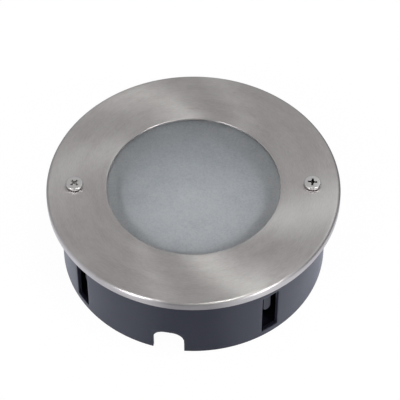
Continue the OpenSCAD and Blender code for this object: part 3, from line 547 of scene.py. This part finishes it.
# zinc-plated steel: pale and slightly cloudy
zincSteel = {"dark": "#a9adb0", "light": "#cfd2d4", "grain": 0.3, "cloud": 2, "rough": 0.28, "relief": 0.006}
# moulded polycarbonate, satin white: even and slightly shiny; its colour is a painted pool of light, from the
# glow's reflector stops
satinPolycarbonate = {"grain": 0.4, "rough": 0.4, "relief": 0.012}
# moulded natural polyethylene of a terminal block: milky and waxy
naturalPolyethylene = {"dark": "#d0d3cc", "light": "#e4e6e0", "grain": 0.5, "cloud": 5, "rough": 0.38,
                       "relief": 0.02}
# PBT of the lamp's body: white with a fine moulded skin
whitePolyester = {"dark": "#e6e6e2", "light": "#f2f2ef", "grain": 0.4, "cloud": 14, "rough": 0.34,
                  "relief": 0.012}
# moulded opal polycarbonate: white and dull, for it scatters the light that goes into it; its colour is a
# painted pool of light, from the glow's lamp stops
opalPolycarbonate = {"grain": 0.6, "rough": 0.45, "relief": 0.008}
# extruded PVC of the leads: plain, smooth and a little shiny
brownInsulation = {"dark": "#4c2a17", "light": "#623820", "grain": 0.5, "cloud": 6, "rough": 0.36,
                   "relief": 0.01}
blueInsulation = {"dark": "#1d4789", "light": "#2a5ba6", "grain": 0.5, "cloud": 6, "rough": 0.36,
                  "relief": 0.01}
# moulded nylon of the gland: black with a dull, even skin
blackNylon = {"dark": "#161617", "light": "#222223", "grain": 0.4, "cloud": 7, "rough": 0.44, "relief": 0.015}
# silicone over the chips, filled with a yellow phosphor
phosphorGel = {"dark": "#d9bd3c", "light": "#edd664", "grain": 0.25, "cloud": 3, "rough": 0.35,
               "relief": 0.02}
# glass-fibre board under green solder mask: the weave of the cloth shows through
solderMask = {"dark": "#195230", "light": "#24693f", "grain": 0.45, "cloud": 8, "rough": 0.3, "relief": 0.02}
# moulded epoxy of the driver's parts: dark grey and matt
mouldedParts = {"dark": "#17171a", "light": "#27272b", "grain": 0.3, "cloud": 4, "rough": 0.4,
                "relief": 0.015}


# painted light: light reaches the inside only through the window, so the white faces are painted with a pool
# of light that fades outwards from where it falls: colour by the distance from the centre in mm, with x
# squeezed, because the patch of light is wide
glow = {
    "centre": (0.6, -13.5, 41), "squeeze": (0.85, 1, 1), "reach": 66, "blurMm": 3.0,
    "lamp": [(0, "#ffffff"), (14, "#f9fafb"), (26, "#e6e9ec"), (37, "#d3d7db"), (51, "#b2b7bd")],
    "reflector": [(38, "#ffffff"), (45, "#eceded"), (52, "#d9dbdc"), (64, "#c0c2c4")],
}


def paintedGlowWhite(name, spec, stops):
    # painted pool of light: colour = the stops read at the distance from the patch's centre, blurred by the
    # grain
    material, tree, shader = newMaterial(name, Roughness=spec["rough"])
    place = objectPlace(tree, glow["squeeze"])
    away = addNode(tree, "VectorMath", {"operation": "DISTANCE"}, _0=place, _1=glow["centre"])
    grain = addNode(tree, "TexNoise", Vector=place, Scale=1 / spec["grain"])
    spread = addNode(tree, "Math", {"operation": "MULTIPLY_ADD"}, _0=grain.outputs["Fac"],
                     _1=glow["blurMm"], _2=away.outputs["Value"])
    share = addNode(tree, "Math", {"operation": "DIVIDE"}, _0=spread.outputs[0], _1=glow["reach"])
    colour = colourRamp(tree, share.outputs[0], [(apart / glow["reach"], tone) for apart, tone in stops])
    setInputs(tree, shader, Base_Color=colour,
              Normal=bump(tree, grain.outputs["Fac"], spec["relief"], 0.6))
    return material


# green PVC with a yellow stripe, extruded together: smooth and a little shiny
earthPvc = {"green": "#3c7d33", "yellow": "#d8c23a", "edge": (0.3, 0.42), "wavePerMm": 1.3, "ripple": 0.2,
            "grainMm": 0.5, "rough": 0.36, "reliefMm": 0.01}


def earthInsulation():
    # bands where the sine of x + z is high, so they cross the lead's bends; the grain ripples their edges
    material, tree, shader = newMaterial("greenYellowPvc", Roughness=earthPvc["rough"])
    place = objectPlace(tree)
    part = addNode(tree, "SeparateXYZ", Vector=place)
    grain = addNode(tree, "TexNoise", Vector=place, Scale=1 / earthPvc["grainMm"])
    across = addNode(tree, "Math", {"operation": "ADD"}, _0=part.outputs["X"], _1=part.outputs["Z"])
    phase = addNode(tree, "Math", {"operation": "MULTIPLY"}, _0=across.outputs[0], _1=earthPvc["wavePerMm"])
    wave = addNode(tree, "Math", {"operation": "SINE"}, _0=phase.outputs[0])
    mixed = addNode(tree, "Math", {"operation": "MULTIPLY_ADD"}, _0=grain.outputs["Fac"],
                    _1=earthPvc["ripple"], _2=wave.outputs[0])
    stops = zip(earthPvc["edge"], (earthPvc["green"], earthPvc["yellow"]))
    setInputs(tree, shader, Base_Color=colourRamp(tree, mixed.outputs[0], list(stops)),
              Normal=bump(tree, grain.outputs["Fac"], earthPvc["reliefMm"], 0.5))
    return material


print("finishes of the inner pieces")
sleeveFinish = grainedFinish("mouldedPolypropyleneBlack", sleevePlastic, **sleeveSheen)
finishes = {
    "black_plastic": sleeveFinish,
    "black_housing": grainedFinish("glassFilledNylonBlack", housingNylon),
    "rubber": grainedFinish("siliconeRubberBlack", siliconeRubber, Sheen_Weight=0.15),
    "brass": grainedFinish("turnedBrass", turnedBrass, Metallic=1.0),
    "screw_steel": grainedFinish("zincPlatedSteel", zincSteel, Metallic=1.0),
    "white_plastic": paintedGlowWhite("satinPolycarbonateWhite", satinPolycarbonate, glow["reflector"]),
    "clear_plastic": grainedFinish("naturalPolyethylene", naturalPolyethylene, Subsurface_Weight=0.2),
    "lamp_white": grainedFinish("mouldedPbtWhite", whitePolyester),
    "opal": paintedGlowWhite("opalPolycarbonate", opalPolycarbonate, glow["lamp"]),
    "brown_lead": grainedFinish("pvcInsulationBrown", brownInsulation),
    "blue_lead": grainedFinish("pvcInsulationBlue", blueInsulation),
    "green_lead": earthInsulation(),
    "gland_nylon": grainedFinish("mouldedNylonBlack", blackNylon),
    "led_yellow": grainedFinish("phosphorSilicone", phosphorGel),
    "board_green": grainedFinish("solderMaskGreen", solderMask),
    "black_parts": grainedFinish("mouldedEpoxyBlack", mouldedParts),
    "frosted_glass": frostedGlass(),
    "stainless": stainless,
}
for part in frame["record"]["subparts"]:
    slots = frame["nodes"][part["node"]].data.materials
    slots.clear()
    slots.append(finishes[part["material_slot"]])

dress(windowGlass(finishes["frosted_glass"]), "window", "frosted_glass", "window_glass")
for name, side in (("left_screw", -1), ("right_screw", 1)):
    dress(coverScrew(name, side, screwSteel), name, "screw_steel", name)
for name, side in (("left_washer", -1), ("right_washer", 1)):
    dress(screwWasher(name, side, finishes["rubber"]), name, "rubber", name)


# Mounting sleeve: one moulding with a flange, four windows with a spring finger behind each, a cable notch
# and a ledge inside its foot. Every edge has a small mould radius

sleeve = {
    "outer": 68.65, "inner": 66.45, "flange": 73.2, "flangeSheet": 2.2, "top": 48.2, "chamfer": 0.15,
    "edge": 0.3, "capInset": 0.04, "turn": -10.9, "steps": 360,
    "levels": (0.15, 2.3, 6, 10, 14, 17.8, 22, 26, 30, 33.4, 38, 42, 45.7),  # each span ends on one of them
    "windows": 4, "windowReach": 7, "windowSpan": (2.3, 33.4),
    "windowShape": {"halfWidth": 4.8, "low": 3.9, "high": 31.6, "corner": 0.5},
    "notchReach": 10, "notchSpan": (0, 17.8),  # its low edge is far below the foot, so it stays open there
    "notchShape": {"halfWidth": 7.95, "low": -99, "high": 14.6, "corner": 6.6},
    "finger": {"middle": 0.2, "halfWidth": 2.25, "low": 16, "high": 46.4, "cornerLow": 2.25,
               "cornerHigh": 0.35, "front": 65.4, "back": 63.9},
    "root": {"middle": 0, "halfWidth": 2.5, "low": 33, "high": 46.4, "cornerLow": 0.35, "cornerHigh": 0.35,
             "front": 67.2, "back": 63.9},
    "ledgeInner": 49.95, "ledgeMiddle": 58, "ledgeSheet": 2.2, "ledgeHalfGap": 11.95, "ledgeSteps": 320,
    "ledgeSink": 0.4,  # how far the ledge runs into the wall
}


def turnedTo(azimuth, x, y, z):
    # the usual turn about z: (x cos a - y sin a, x sin a + y cos a), which takes the front to the azimuth
    a = math.radians(azimuth)
    x, y, z = np.broadcast_arrays(x, y, z)
    return np.stack([x * math.cos(a) - y * math.sin(a), x * math.sin(a) + y * math.cos(a), z], -1)


def roundOver(edge, steps=4):
    # a quarter round over an edge: (inset, depth) = edge times (1 - sin t, 1 - cos t)
    t = np.radians(np.linspace(0, 90, steps))
    return edge * np.stack([1 - np.sin(t), 1 - np.cos(t)], -1)


def wallPatch(azimuth, path, closed, halfWidth, low, high, corner):
    # rows run from the border on the outer face to the opening, through the wall and out to the inner border;
    # each point goes to the nearest place of a rectangle with round corners. Caps close the ends of the notch
    angle, z = np.radians(path[:, 0]), path[:, 1]
    wall = sleeve["outer"] - sleeve["inner"]
    border = np.stack([sleeve["outer"] * np.sin(angle), z], -1)
    core = np.stack([np.clip(border[:, 0], corner - halfWidth, halfWidth - corner),
                     np.clip(z, low + corner, high - corner)], -1)
    away = (border - core) / np.linalg.norm(border - core, axis=1)[:, None]
    curve = roundOver(sleeve["edge"])
    offsets = np.concatenate([curve[:, 0], curve[::-1, 0]])
    depths = np.concatenate([curve[:, 1], wall - curve[::-1, 1]])
    outline = core + (corner + offsets[:, None, None]) * away
    inside = np.stack([sleeve["inner"] * np.sin(angle), z], -1)
    flat = np.concatenate([[border, (border + outline[0]) / 2], outline,
                           [(inside + outline[-1]) / 2, inside]])
    depth = np.concatenate([[0, 0], depths, [wall, wall]])[:, None]
    depth = np.maximum(depth, np.clip(sleeve["chamfer"] - z, 0, None))
    radius = sleeve["outer"] - depth
    flat[0, :, 0], flat[-1, :, 0] = radius[0] * np.sin(angle), radius[-1] * np.sin(angle)
    points = turnedTo(azimuth, flat[..., 0], -np.sqrt(radius ** 2 - flat[..., 0] ** 2), flat[..., 1])
    rows, columns = points.shape[:2]
    faces = [gridFaces(rows, columns, closeColumns=closed)]
    if not closed:
        ends = np.arange(rows) * columns
        faces += [ends[None, :], (ends + columns - 1)[None, ::-1]]
    return points, faces


def roundedSlab(azimuth, middle, halfWidth, low, high, cornerLow, cornerHigh, front, back):
    # four corner arcs make the outline; it grows over the round edge, runs back and shrinks again
    curve, count = roundOver(sleeve["edge"]), 9  # count is the number of points of an arc
    margin = sleeve["edge"] + sleeve["capInset"]
    inset = np.concatenate([[margin], curve[:, 0], curve[::-1, 0], [margin]])[:, None]
    depth = np.concatenate([[0], curve[:, 1], front - back - curve[::-1, 1], [front - back]])[:, None]
    turn = np.radians(np.concatenate([np.linspace(start, start + 90, count) for start in (180, 270, 0, 90)]))
    corner = np.repeat([cornerLow, cornerLow, cornerHigh, cornerHigh], count)
    aside = np.repeat([-1, 1, 1, -1], count) * (halfWidth - corner)
    height = np.repeat([low + cornerLow, high - cornerHigh], 2 * count)
    u = middle + aside + (corner - inset) * np.cos(turn)
    z = height + (corner - inset) * np.sin(turn)
    points = turnedTo(azimuth, u, depth - front, z)
    return points, [gridFaces(*u.shape), capFace(0, 4 * count),
                    capFace(4 * count * (len(u) - 1), 4 * count)[:, ::-1]]


def sleeveLedge():
    # each section point starts beside the notch at the angle whose sine is halfGap / r, so its ends are flat
    edge, inner, sheet = sleeve["edge"], sleeve["ledgeInner"], sleeve["ledgeSheet"]
    outer, middle, steps = sleeve["inner"] + sleeve["ledgeSink"], sleeve["ledgeMiddle"], sleeve["ledgeSteps"]
    section = np.concatenate([
        [[outer, sheet], [middle, sheet]], arc(inner + edge, sheet - edge, edge, 90, 180, 4),
        arc(inner + edge, edge, edge, 180, 270, 4), [[middle, 0], [outer, 0]]])
    start = np.degrees(np.arcsin(sleeve["ledgeHalfGap"] / section[:, 0]))
    share = np.linspace(0, 1, steps + 1)[:, None]
    azimuth = sleeve["turn"] + start + share * (360 - 2 * start)
    points = aroundAxis(section[:, 0], azimuth, section[:, 1])
    count = len(section)
    return points, [gridFaces(steps + 1, count), capFace(0, count), capFace(steps * count, count)]


def mountingSleeve(material):
    # the section of wall and flange, carried once round the axis; its cells at an opening give way to a patch
    edge, top, flange = sleeve["edge"], sleeve["top"], sleeve["flange"]
    outer, inner, levels = sleeve["outer"], sleeve["inner"], np.array(sleeve["levels"])
    under = top - sleeve["flangeSheet"]
    section = np.concatenate([
        [[outer - sleeve["chamfer"], 0]], line(outer, levels),
        arc(outer + edge, under - edge, edge, 180, 90, 4)[1:],
        arc(flange - edge, under + edge, edge, -90, 0, 4),
        arc(flange - edge, top - edge, edge, 0, 90, 4), arc(inner + edge, top - edge, edge, 90, 180, 4),
        line(inner, levels[::-1]), [[inner, 0]]])
    steps, count = sleeve["steps"], len(section)
    turns = np.arange(steps) + sleeve["turn"] % 1
    points = aroundAxis(section[:, 0], turns[:, None], section[:, 1])
    faces = gridFaces(steps, count, closeRows=True).reshape(steps, count, 4)
    height = ((section + np.roll(section, -1, 0)) / 2)[:, 1]
    keep, shells = np.ones((steps, count), bool), []

    def opening(azimuth, reach, span, shape, closed):
        # the patch's border is the edge of the cells left out, from azimuth - reach to azimuth + reach
        near = np.abs((turns + 0.5 - azimuth + 180) % 360 - 180) < reach
        keep[np.ix_(near, (height < span[1]) & (height > span[0] - (not closed)))] = False
        rise = levels[(levels >= span[0]) & (levels <= span[1])]
        rise = rise if closed else np.concatenate([[0], rise])
        across = np.arange(-reach, reach + 1)
        path = np.concatenate([line(-reach, rise[:-1]), line(across, span[1]), line(reach, rise[-2::-1])])
        if closed:
            path = np.concatenate([path, line(across[-2:0:-1], span[0])])
        shells.append(wallPatch(azimuth, path, closed, **shape))

    opening(sleeve["turn"], sleeve["notchReach"], sleeve["notchSpan"], sleeve["notchShape"], False)
    for number in range(sleeve["windows"]):
        azimuth = sleeve["turn"] + (number + 0.5) * 360 / sleeve["windows"]
        opening(azimuth, sleeve["windowReach"], sleeve["windowSpan"], sleeve["windowShape"], True)
        shells += [roundedSlab(azimuth, **sleeve["finger"]), roundedSlab(azimuth, **sleeve["root"])]
    shells += [(points, [faces[keep]]), sleeveLedge()]
    return makePiece("mountingSleeve", shells, material)


# Floor and backdrop: one pale sheet that lies flat and rises all round into a wall

backdrop = {
    "radius": 3.0, "bend": 0.5, "height": 1.6, "rings": (0, 0.3, 0.8, 1.5, 2.2), "steps": 96,  # metres
    "sinkMm": 0.02, "dark": "#e5e5e5", "colour": "#e8e8e8", "grainMm": 6,  # the paper's fine clouds
    "ownLight": 0.95, "ownLevel": 1.02, "near": 150, "far": 500, "mirroredTint": (0.96, 0.985, 1.05, 1),
}
# painted light and shade, seen only in mirrored and refracted rays: brightness by direction, in degrees from
# the front towards the right: near is the floor round the object, painted darker straight in front and
# behind, far the room beyond it, painted bright only where the two front lamps would light it
nearSides = {-180: 0.35, -150: 0.45, -120: 0.5, -105: 1.0, -70: 0.95, -26: 0.72, -13: 0.47, 10: 0.47,
             20: 0.76, 40: 0.93, 100: 1.0, 116: 0.36, 180: 0.35}
farSides = {-180: 0.36, -115: 0.3, -92: 0.62, -27: 0.7, -15: 0.12, 11: 0.12, 21: 0.74, 62: 0.74, 76: 0.14,
            150: 0.26, 180: 0.36}


def sideTone(tree, place, sides):
    # the share of the direction atan2(x, -y) in a full turn, read off the sides
    part = addNode(tree, "SeparateXYZ", Vector=place)
    ahead = addNode(tree, "Math", {"operation": "MULTIPLY"}, _0=part.outputs["Y"], _1=-1.0)
    turn = addNode(tree, "Math", {"operation": "ARCTAN2"}, _0=part.outputs["X"], _1=ahead.outputs[0])
    share = addNode(tree, "Math", {"operation": "MULTIPLY_ADD"}, _0=turn.outputs[0], _1=0.5 / math.pi, _2=0.5)
    return colourRamp(tree, share.outputs[0], [(angle / 360 + 0.5, tone) for angle, tone in sides.items()])


def studioSheet():
    # for the camera: paper with light of its own; for mirrored and refracted rays: the sides' painted levels
    # of light and shade, near mixed into far by the distance
    material, tree, shader = newMaterial("mattPaperWhite", Roughness=0.9)
    place = objectPlace(tree)
    grain = addNode(tree, "TexNoise", Vector=place, Scale=1 / backdrop["grainMm"])
    setInputs(tree, shader, Base_Color=colourRamp(
        tree, grain.outputs["Fac"], [(0.3, backdrop["dark"]), (0.7, backdrop["colour"])]))
    light = addNode(tree, "LightPath")
    mirrored = addNode(tree, "Math", {"operation": "ADD"}, _0=light.outputs["Is Glossy Ray"],
                       _1=light.outputs["Is Transmission Ray"])
    apart = addNode(tree, "VectorMath", {"operation": "LENGTH"}, _0=place).outputs["Value"]
    away = addNode(tree, "MapRange", Value=apart, From_Min=backdrop["near"], From_Max=backdrop["far"])
    level = addNode(tree, "Mix", {"data_type": "RGBA"}, Factor=away.outputs["Result"],
                    _6=sideTone(tree, place, nearSides), _7=sideTone(tree, place, farSides))
    glowing = addNode(tree, "Mix", {"data_type": "FLOAT"}, Factor=mirrored.outputs[0],
                      A=backdrop["ownLevel"], B=level.outputs[2])
    share = addNode(tree, "Math", {"operation": "MULTIPLY_ADD", "use_clamp": True},
                    _0=light.outputs["Is Camera Ray"], _1=backdrop["ownLight"], _2=mirrored.outputs[0])
    tint = addNode(tree, "Mix", {"data_type": "RGBA"}, Factor=mirrored.outputs[0], _6=(1, 1, 1, 1),
                   _7=backdrop["mirroredTint"])
    white = addNode(tree, "Emission", Color=tint.outputs[2], Strength=glowing.outputs[0])
    mixed = addNode(tree, "MixShader", Fac=share.outputs[0], _1=shader.outputs["BSDF"],
                    _2=white.outputs["Emission"])
    setInputs(tree, tree.get_output_node("ALL"), Surface=mixed.outputs["Shader"])
    section = np.concatenate([
        line(backdrop["rings"], 0),
        arc(backdrop["radius"] - backdrop["bend"], backdrop["bend"], backdrop["bend"], -90, 0, 10),
        [[backdrop["radius"], backdrop["height"]]]]) / mm
    points, (faces,) = revolveOpen(section - [0, backdrop["sinkMm"]], backdrop["steps"])
    mesh = bpy.data.meshes.new("studioSheet")
    mesh.from_pydata((points.reshape(-1, 3) * mm).tolist(), [], faces.tolist())
    mesh.polygons.foreach_set("use_smooth", np.ones(len(mesh.polygons), bool))
    mesh.materials.append(material)
    sheet = bpy.data.objects.new("studioSheet", mesh)
    scene.collection.objects.link(sheet)


# World and lamps: a soft grey dome, white at the horizon, and four soft boxes over the ring

dome = {
    "tones": [(0.0, 1.0), (0.35, 0.74), (0.7, 0.53), (1.0, 0.35)],  # by height, from horizon to zenith
    "sidesEnd": (0.3, 0.6),  # between these heights the sides' levels fade out
}
softBoxes = {  # place and side length in metres
    "boxAbove": {"place": (0.58, -0.36, 2.9), "size": 0.5, "watts": 11, "colour": (0.95, 1.0, 0.96)},
    "boxBehind": {"place": (0.91, 1.575, 2.385), "size": 0.36, "watts": 2.0, "colour": (0.92, 1.0, 1.0)},
    "boxLeft": {"place": (-1.55, -1.87, 1.75), "size": 0.75, "watts": 22, "colour": (0.97, 0.98, 1.0)},
    "boxRight": {"place": (1.88, -1.64, 1.67), "size": 0.7, "watts": 20, "colour": (0.97, 0.98, 1.0)},
}


def studioWorld():
    # tone by height, multiplied by the far sides' levels low down
    world = bpy.data.worlds.new("studioDome")
    world.use_nodes = True
    tree = world.node_tree
    tree.nodes.clear()
    direction = addNode(tree, "TexCoord").outputs["Generated"]
    height = addNode(tree, "SeparateXYZ", Vector=direction).outputs["Z"]
    tone = colourRamp(tree, height, dome["tones"])
    low = addNode(tree, "Mix", {"data_type": "RGBA", "blend_type": "MULTIPLY"}, Factor=1.0, _6=tone,
                  _7=sideTone(tree, direction, farSides))
    rise = addNode(tree, "MapRange", Value=height, From_Min=dome["sidesEnd"][0], From_Max=dome["sidesEnd"][1])
    lit = addNode(tree, "Mix", {"data_type": "RGBA"}, Factor=rise.outputs["Result"], _6=low.outputs[2],
                  _7=tone)
    background = addNode(tree, "Background", Color=lit.outputs[2])
    addNode(tree, "OutputWorld", Surface=background.outputs["Background"])
    scene.world = world


def softBox(name, place, size, watts, colour):
    # a square lamp that faces the origin
    lamp = bpy.data.lights.new(name, "AREA")
    lamp.shape, lamp.size, lamp.energy, lamp.color = "SQUARE", size, watts, colour
    box = bpy.data.objects.new(name, lamp)
    box.location = place
    box.rotation_euler = (-Vector(place)).to_track_quat("-Z", "Y").to_euler()
    scene.collection.objects.link(box)


# Camera: a pinhole fitted to the ring, window, notch and screws of the photograph

shot = {"elevation": 0.8911, "distance": 1.0, "focal": 1963.0, "shiftX": -6.4684, "shiftY": -15.2567,
        "roll": 0.0037, "target": (0, 0, 0.0494), "imagePx": 400, "sensorMm": 36, "clip": (0.05, 20)}


def photoCamera():
    # the camera looks at the target, then turns about its own up and right axes by the angles whose tangents
    # are shift / focal, and about its view axis by the roll; lens = focal sensor / image
    e, d, f = shot["elevation"], shot["distance"], shot["focal"]
    place = Vector((0, -d * math.cos(e), d * math.sin(e)))
    forward = -place.normalized()
    right = Vector((1, 0, 0))
    up = right.cross(forward)
    turn = Matrix.Rotation(-math.atan2(-shot["shiftX"], f), 3, up)
    forward, right = turn @ forward, turn @ right
    turn = Matrix.Rotation(-math.atan2(-shot["shiftY"], f), 3, right)
    forward, up = turn @ forward, turn @ up
    turn = Matrix.Rotation(shot["roll"], 3, forward)
    right, up = turn @ right, turn @ up
    camera = bpy.data.cameras.new("photoCamera")
    camera.sensor_width = shot["sensorMm"]
    camera.lens = f * shot["sensorMm"] / shot["imagePx"]
    camera.clip_start, camera.clip_end = shot["clip"]
    view = bpy.data.objects.new("photoCamera", camera)
    view.matrix_world = Matrix.Translation(place + Vector(shot["target"])) @ Matrix(
        (right, up, -forward)).transposed().to_4x4()
    scene.collection.objects.link(view)
    scene.camera = view


print("mounting sleeve")
dress(mountingSleeve(sleeveFinish), "sleeve", "black_plastic", "mounting_sleeve", "sleeve_ledge")

print("backdrop, light and camera")
studioSheet()
studioWorld()
for name, box in softBoxes.items():
    softBox(name, **box)
photoCamera()
scene.view_settings.view_transform = "Standard"
